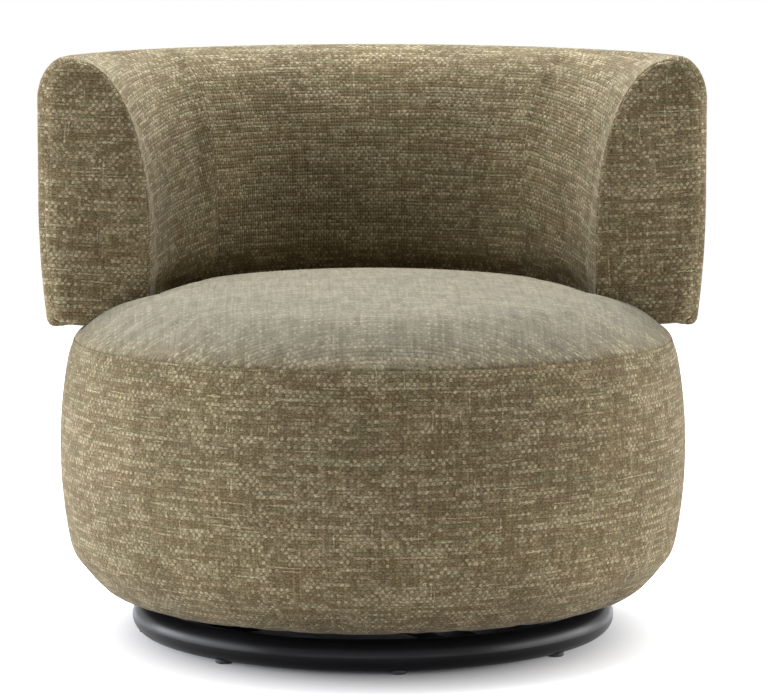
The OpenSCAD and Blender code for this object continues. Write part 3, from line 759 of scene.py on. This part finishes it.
def swept_place(outline, start, end, r_mean, round_start=False, round_end=False):
    """The place function and the size of an outline turned round the backrest's arc. An end that
    meets an arm's front is rounded over."""
    ahead = END_AHEAD - ARM_EDGE_R * (1 - EDGE_TURN)
    length = (end - start) * r_mean + ahead * (round_start + round_end)

    def place(u, v):
        section, section_normal = walk(outline, v)
        radius = arm_edge_radius(section[:, 0])[:, None]
        s = u[None, :] * length + 0 * radius
        angle = start + (s - (ahead if round_start else 0)) / r_mean
        inset = np.zeros_like(s)
        turn = np.zeros_like(s)
        bend = np.zeros_like(s)
        if round_start:
            behind, inset_start, turn_start = round_arm_edge(s, radius)
            angle = np.where(s < END_REACH, start + (behind - END_AHEAD) / r_mean, angle)
            inset += inset_start
            turn -= turn_start
            bend += (behind - END_AHEAD) * np.clip(1 - behind / END_REACH, 0, 1)
        if round_end:
            behind, inset_end, turn_end = round_arm_edge(length - s, radius)
            angle = np.where(length - s < END_REACH, end - (behind - END_AHEAD) / r_mean, angle)
            inset += inset_end
            turn += turn_end
            bend -= (behind - END_AHEAD) * np.clip(1 - behind / END_REACH, 0, 1)
        out = section_normal[:, 0][:, None]
        up = section_normal[:, 1][:, None]
        r = section[:, 0][:, None] - out * inset
        z = section[:, 1][:, None] - up * inset
        at = angle + bend * (r_mean / r - 1) / r_mean
        points = np.stack([r * np.cos(at), BACK_Y + r * np.sin(at), sagged(z, np.cos(at) ** 2)], -1)
        facing = np.stack([out * np.cos(at), out * np.sin(at), up + 0 * at], -1)
        forward = np.stack([-np.sin(at), np.cos(at), np.zeros_like(at)], -1)
        normals = facing * np.cos(turn)[..., None] + forward * np.sin(turn)[..., None]
        return points, normals

    return place, (length, lengths(outline)[-1])


def rounded_foot(points, u, v):
    """How far the inner covers draw in where they round down to the cushion. It fades out at the
    arms' ends."""
    x, y, z = np.moveaxis(points, -1, 0)
    above = z - crown_height(np.minimum(np.hypot(x, y), SEAM_R))
    down = np.clip(1 - above / FOOT_R, 0, FOOT_TURN)
    behind = np.clip((y - BACK_Y) / (FOOT_FADE * INNER_R), 0, 1)
    return -FOOT_R * (1 - np.sqrt(1 - down ** 2)) * behind ** 2 * (3 - 2 * behind)


def swept_weave(size, cut_at, slope=0.0):
    """Weave coordinates of a swept panel, cut from its own place in the cloth. Its rows may climb
    by a slope."""
    def weave_at(u, v, points):
        across, along = np.meshgrid(u * size[0], v * size[1])
        turned = np.stack([across * cos(slope) - along * sin(slope),
                           across * sin(slope) + along * cos(slope)], -1)
        return turned + cut_at

    return weave_at


def disc(u, v):
    """A square grid laid out as a disc: the distance from the middle, 0 to 1, and the direction."""
    a, b = np.meshgrid(2 * u - 1, 2 * v - 1)
    flat = np.abs(a) > np.abs(b)
    radius = np.where(flat, a, b)
    small = np.where(flat, b, a)
    off_middle = np.abs(radius) > TINY
    turn = np.where(off_middle, small / np.where(off_middle, radius, 1), 0) * pi / 4
    angle = np.where(flat, turn, pi / 2 - turn)
    return radius * np.cos(angle), radius * np.sin(angle)


def grid_normals(points):
    """Normals of a grid of points, from its neighbours."""
    across = np.gradient(points, axis=1)
    along = np.gradient(points, axis=0)
    normals = np.cross(across, along)
    return normals / np.maximum(np.linalg.norm(normals, axis=-1), TINY_AREA)[..., None]


def footprint_distance(x, y):
    """The distance from the backrest's footprint, below 0 inside it."""
    inside_face = INNER_R - np.hypot(x, y - BACK_Y)
    ahead = END_Y - y
    outside = np.hypot(np.maximum(inside_face, 0), np.maximum(ahead, 0))
    return np.where(outside > 0, outside, np.maximum(inside_face, ahead))


def cushion_place(u, v):
    """The crowned cushion, pressed down under the backrest with a crease round it."""
    a, b = disc(u, v)
    x, y = a * SEAM_R, b * SEAM_R
    crown = crown_height(np.minimum(np.hypot(x, y), SEAM_R))
    share = np.clip(footprint_distance(x, y) / CREASE_R, 0, 1)
    pressed = np.maximum(crown - (BACK_Z - CREASE_GAP), 0) * (1 - np.sqrt(1 - (1 - share) ** 2))
    points = np.stack([x, y, crown - pressed], -1)
    normals = grid_normals(np.stack([x, y, crown], -1))
    return points, normals



# Lights, floor and camera

COOL_WHITE = (0.92, 0.95, 1.0)
BLUE_WHITE = (0.72, 0.86, 1.0)
PLAIN_WHITE = (1.0, 1.0, 1.0)
SEAT_MIDDLE = (0, 0, 0.35)
WORLD_LEVEL = 0.01

FLOOR_REACH = 40
FLOOR_TONE = (220, 219, 223)
GLOW_DEPTH = 0.8                # of the dark oval round the base, as a share of its width
GLOW_FROM = 0.19
GLOW_FULL = 0.37

CAMERA_D = 4.0
CAMERA_H = 0.787
CAMERA_AZIMUTH = radians(1.5)
CAMERA_PITCH = 0.1155
CAMERA_LENS = 162.0
PHOTO_W = 780
OBJECT_X = 373                  # where the swivel axis stands in the photo, in its pixels


def aim(obj, place, target):
    obj.location = place
    obj.rotation_mode = "QUATERNION"
    obj.rotation_quaternion = (Vector(target) - Vector(place)).to_track_quat("-Z", "Y")
    bpy.context.scene.collection.objects.link(obj)


def make_camera():
    """A long lens in front of the chair, a little to the left, looking down at it."""
    data = bpy.data.cameras.new("camera")
    data.lens = CAMERA_LENS
    data.shift_x = (PHOTO_W / 2 - OBJECT_X) / PHOTO_W
    camera = bpy.data.objects.new("camera", data)
    place = Vector((-CAMERA_D * sin(CAMERA_AZIMUTH), -CAMERA_D * cos(CAMERA_AZIMUTH), CAMERA_H))
    ahead = Vector((sin(CAMERA_AZIMUTH) * cos(CAMERA_PITCH),
                    cos(CAMERA_AZIMUTH) * cos(CAMERA_PITCH), -sin(CAMERA_PITCH)))
    aim(camera, place, place + ahead)
    bpy.context.scene.camera = camera


def softbox(name, place, size, power, target=SEAT_MIDDLE, colour=PLAIN_WHITE):
    data = bpy.data.lights.new(name, "AREA")
    data.color = colour
    data.shape = "RECTANGLE"
    data.size, data.size_y = size
    data.energy = power
    aim(bpy.data.objects.new(name, data), place, target)


def make_lights():
    """A big soft light overhead, one behind, long ones at both sides, a high one at the left and a
    faint low one in front."""
    softbox("top_light", place=(0, 0.57, 2.5), size=(1.3, 1.9), power=120, target=(0, 0.05, 0.3),
            colour=COOL_WHITE)
    softbox("back_light", place=(0, 1.8, 1.7), size=(2.6, 1.4), power=18, target=(0, 0, 0.3),
            colour=BLUE_WHITE)
    softbox("left_light", place=(-2.15, -0.05, 0.35), size=(2.7, 0.7), power=64, colour=COOL_WHITE)
    softbox("right_light", place=(2.15, -0.1, 0.35), size=(2.6, 0.7), power=47)
    softbox("left_high_light", place=(-1.8, -0.3, 1.6), size=(1.2, 1.2), power=12,
            colour=COOL_WHITE)
    softbox("low_light", place=(0, -1.6, 0.1), size=(2.4, 0.2), power=3.8, target=(0, 0, 0.25))


def make_world():
    """A plain world that looks white and lights the chair faintly."""
    world = bpy.data.worlds.new("world")
    bpy.context.scene.world = world
    w = Nodes(world)
    level = w.add("MapRange", {"Value": w.seen(), "To Min": WORLD_LEVEL, "To Max": 1.0})
    background = w.add("Background", {"Color": (1, 1, 1, 1), "Strength": level.outputs[0]})
    w.add("OutputWorld", {0: background.outputs[0]})


def floor_material():
    """A white floor that keeps the chair's shadow: plain diffuse, with light of its own for the
    camera beyond the dark oval round the base. That light fades in across the oval's edge, so the
    floor's darkening there is painted shadow as well as the real one."""
    s = new_material("floor")
    diffuse = s.add("BsdfDiffuse", {"Color": linear(FLOOR_TONE)})
    x, y, z = s.split(s.add("NewGeometry").outputs["Position"])
    away = s.distance(x, s.times(y, GLOW_DEPTH))
    # The glow's fade across the oval's edge is painted shadow, added to the floor's real shadow
    strength = s.times(s.seen(), s.smooth(away, GLOW_FROM, GLOW_FULL))
    glow = s.add("Emission", {"Color": (1, 1, 1, 1), "Strength": strength})
    both = s.add("AddShader", {0: diffuse.outputs[0], 1: glow.outputs[0]})
    s.add("OutputMaterial", {0: both.outputs[0]})
    return s.owner


def make_floor():
    sides = ((-1, -1), (1, -1), (1, 1), (-1, 1))
    corners = np.array([[x * FLOOR_REACH, y * FLOOR_REACH, 0] for x, y in sides])
    floor = mesh_of("floor", corners, np.array([[0, 1, 2, 3]]))
    floor.data.materials.append(floor_material())


make_camera()
make_lights()
make_world()
make_floor()
bpy.context.scene.view_settings.view_transform = "Standard"

# Which pieces get which finish
FINISHES = {
    black_steel(): ["base_ring", "base_cross", "hub_plate"],
    plastic("glide_plastic", dark=(16, 16, 17), light=(26, 26, 28), roughness=0.6): ["glides"],
    metal("bearing_steel", dark=(150, 152, 156), light=(196, 198, 202), roughness=0.28): [
        "lower_race", "lower_race_bolts", "pivot_pin", "retaining_ring", "bearing_balls",
        "upper_race", "upper_race_bolts", "thrust_washer", "post_screws_lower",
        "post_screws_upper", "back_risers", "riser_bolts", "riser_tee_nuts"],
    metal("cage_brass", dark=(168, 136, 70), light=(206, 176, 104), roughness=0.32): ["ball_cage"],
    plastic("bush_nylon", dark=(206, 198, 178), light=(228, 222, 206), roughness=0.5): [
        "pivot_bush"],
    wood("frame_wood", dark=(176, 134, 84), light=(216, 180, 126)): [
        "seat_base_board", "seat_posts", "seat_top_ring", "back_base_plate", "back_shell",
        "back_ribs"],
    wood("hardboard", dark=(142, 104, 62), light=(172, 132, 84)): ["seat_side_panel"],
    woven_strap(): ["webbing_across", "webbing_lengthways"],
    black_cloth(): ["dust_cover"],
}
for finish, names in FINISHES.items():
    for name in names:
        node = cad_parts[name]
        node.data.materials.clear()
        node.data.materials.append(finish)

TWEED = tweed("tweed", TWEED_SHEEN, with_painted_sheen=False)
# The cushion's cloth, with painted sheen in its colour
TWEED_WITH_PAINTED_SHEEN = tweed("tweed_painted_sheen", PALE_SHEEN, with_painted_sheen=True)


# The drum's side: one strip that closes in a seam at the back

def band_place(u, v):
    section, section_normal = walk(seat_side_outline(), v)
    at = pi / 2 + 2 * pi * u[None, :]
    across = np.ones_like(at)
    r = section[:, 0][:, None]
    points = np.stack([r * np.cos(at), r * np.sin(at), section[:, 1][:, None] * across], -1)
    out = section_normal[:, 0][:, None]
    up = section_normal[:, 1][:, None] * across
    return points, np.stack([out * np.cos(at), out * np.sin(at), up], -1)


def drum_foot(points, u, v):
    """The cover lies on the seat board's underside and is pulled in a little round the foam's
    lower edge."""
    up = points[..., 2] - UNDER_Z
    hem = DRUM_HEM_OUT * np.exp(-(up / DRUM_HEM_H) ** 2)
    return hem - DRUM_PULL * np.exp(-((up - DRUM_PULL_Z) / DRUM_PULL_W) ** 2)


band_size = (2 * pi * SEAT_R, lengths(seat_side_outline())[-1])
dress("seat_band", band_place, band_size, swept_weave(band_size, cut_at=(0.0, 0.0)),
      ["seat_side_cover", "seat_side_foam"], extra=drum_foot)


# The cushion

CUSHION_CUT_AT = 3.1


def cushion_weave(u, v, points):
    return points[..., :2] + CUSHION_CUT_AT


def under_backrest(points):
    return footprint_distance(points[..., 0], points[..., 1]) < CREASE_R * CREASE_HELD


cushion_size = (2 * SEAM_R, 2 * SEAM_R)
# The cushion wears the cloth with painted sheen in its colour
dress("seat_cushion", cushion_place, cushion_size, cushion_weave,
      ["seat_top_cover", "seat_top_foam"], held=under_backrest, cloth=TWEED_WITH_PAINTED_SHEEN)


# The backrest

def stuffed_side(points, u, v):
    """How far the outer cover stands out over its stuffing, which is a little fuller low down."""
    up = (points[..., 2] - BACK_Z) / (TOP_Z - BACK_Z)
    return STUFFED_OUT * (STUFFED_LOW - STUFFED_LOSS * up) * fade_in(u, v, outer_size)


outer_place, outer_size = swept_place(back_outer_outline(), 0, pi, BACK_R, True, True)
dress("back_outer", outer_place, outer_size, swept_weave(outer_size, cut_at=(5.2, 0.6)),
      ["back_outer_cover", "back_foam"], pressure=9.0, slack=0.004, give=0.15, extra=stuffed_side,
      seams=(ARM_RIM_SEAM, ARM_RIM_SEAM, FLAT_SEAM, FLAT_SEAM))

left_seam = pi / 2 + INNER_SEAM_ANGLE
right_seam = pi / 2 - INNER_SEAM_ANGLE
middle_place, middle_size = swept_place(back_inner_outline(), right_seam, left_seam, MEAN_INNER_R)
dress("back_inner_middle", middle_place, middle_size, swept_weave(middle_size, cut_at=(7.4, 1.3)),
      ["back_inner_cover"], pressure=2.0, slack=0.002, give=0.3, extra=rounded_foot,
      seams=(FLAT_SEAM, FLAT_SEAM, FLAT_SEAM, 1))

ARM_ROWS_CLIMB = radians(9)
for word, side, start, end, upright_seams, cut_at in (
        ("right", 1, 0, right_seam, (ARM_INNER_SEAM, FLAT_SEAM), (9.7, 2.2)),
        ("left", -1, left_seam, pi, (FLAT_SEAM, ARM_INNER_SEAM), (11.9, 3.1))):
    arm_place, arm_size = swept_place(back_inner_outline(), start, end, MEAN_INNER_R,
                                      round_start=side > 0, round_end=side < 0)
    dress(f"arm_inner_{word}", arm_place, arm_size,
          swept_weave(arm_size, cut_at, slope=side * ARM_ROWS_CLIMB),
          [f"arm_inner_cover_{word}"], slack=0.003, extra=rounded_foot,
          seams=(*upright_seams, FLAT_SEAM, 1))

under_place, under_size = swept_place(back_under_outline(), 0, pi, MEAN_INNER_R, True, True)
dress("back_underside", under_place, under_size, swept_weave(under_size, cut_at=(13.3, 4.0)),
      ["back_bottom_cover"], seams=(ARM_RIM_SEAM, ARM_RIM_SEAM, 1, FLAT_SEAM))


# The flat D-shaped panels on the arms' fronts

RIM_POINTS = 1000
RIM_INSET = 1 - cos(EDGE_TURN)  # of the seam, as a share of the rounded edge's radius
MIDDLE_OUT = 0.006              # from the panel's centre to the point that its grid spreads from
MIDDLE_DOWN = 0.012
ARM_ROWS_TILT = radians(-3)


def arm_front_place(side):
    """The D section, drawn in to where its rounded edge meets the sides' and spread out from its
    middle."""
    whole = np.concatenate([back_outer_outline(), back_inner_outline()[1:], back_under_outline()])
    outline, outward = walk(whole, np.linspace(0, 1, RIM_POINTS))
    radius = arm_edge_radius(outline[:, 0])
    rim = outline - outward * (radius * RIM_INSET)[:, None]
    middle = np.array([(INNER_R + BACK_R) / 2 + MIDDLE_OUT, (BACK_Z + TOP_Z) / 2 - MIDDLE_DOWN])
    out_to = rim - middle
    reach = np.hypot(*out_to.T)
    squareness = np.sum(out_to * outward, 1) / reach
    direction = np.arctan2(out_to[:, 1], out_to[:, 0])
    order = np.argsort(direction)

    def place(u, v):
        a, b = disc(u, v)
        share = np.hypot(a, b)
        towards = np.arctan2(b, a)
        at_rim, square, r, out_x, out_z = (
            np.interp(towards, direction[order], values[order], period=2 * pi)
            for values in (reach, squareness, radius, outward[:, 0], outward[:, 1]))
        inset = (1 - share) * at_rim * square + r * RIM_INSET
        dip = np.maximum(r - inset, 0)
        x = side * (middle[0] + a * at_rim)
        y = END_Y + r - np.sqrt(r ** 2 - dip ** 2)
        z = sagged(middle[1] + b * at_rim, 1)
        lean = dip / r / np.hypot(out_x, out_z)
        normals = np.stack([side * out_x * lean, -np.sqrt(1 - (dip / r) ** 2), out_z * lean], -1)
        return np.stack([x, y, z], -1), normals

    return place


def arm_front_crown(points, u, v):
    """How far the stuffing pushes out the middle of an arm's front."""
    a, b = np.meshgrid(2 * u - 1, 2 * v - 1)
    return ARM_FRONT_CROWN * (1 - np.maximum(np.abs(a), np.abs(b)) ** 2)


def front_weave(tilt, cut_at):
    def weave_at(u, v, points):
        x, z = points[..., 0], points[..., 2]
        return np.stack([x * cos(tilt) - z * sin(tilt) + cut_at, x * sin(tilt) + z * cos(tilt)], -1)

    return weave_at


front_size = (BACK_R - INNER_R, TOP_Z - BACK_Z)
for word, side, cut_at in (("right", 1, 15.3), ("left", -1, 17.6)):
    dress(f"arm_front_{word}", arm_front_place(side), front_size,
          front_weave(ARM_ROWS_TILT * side, cut_at), [f"arm_end_cover_{word}"],
          give=0.4, extra=arm_front_crown, seams=(ARM_RIM_SEAM,) * 4)
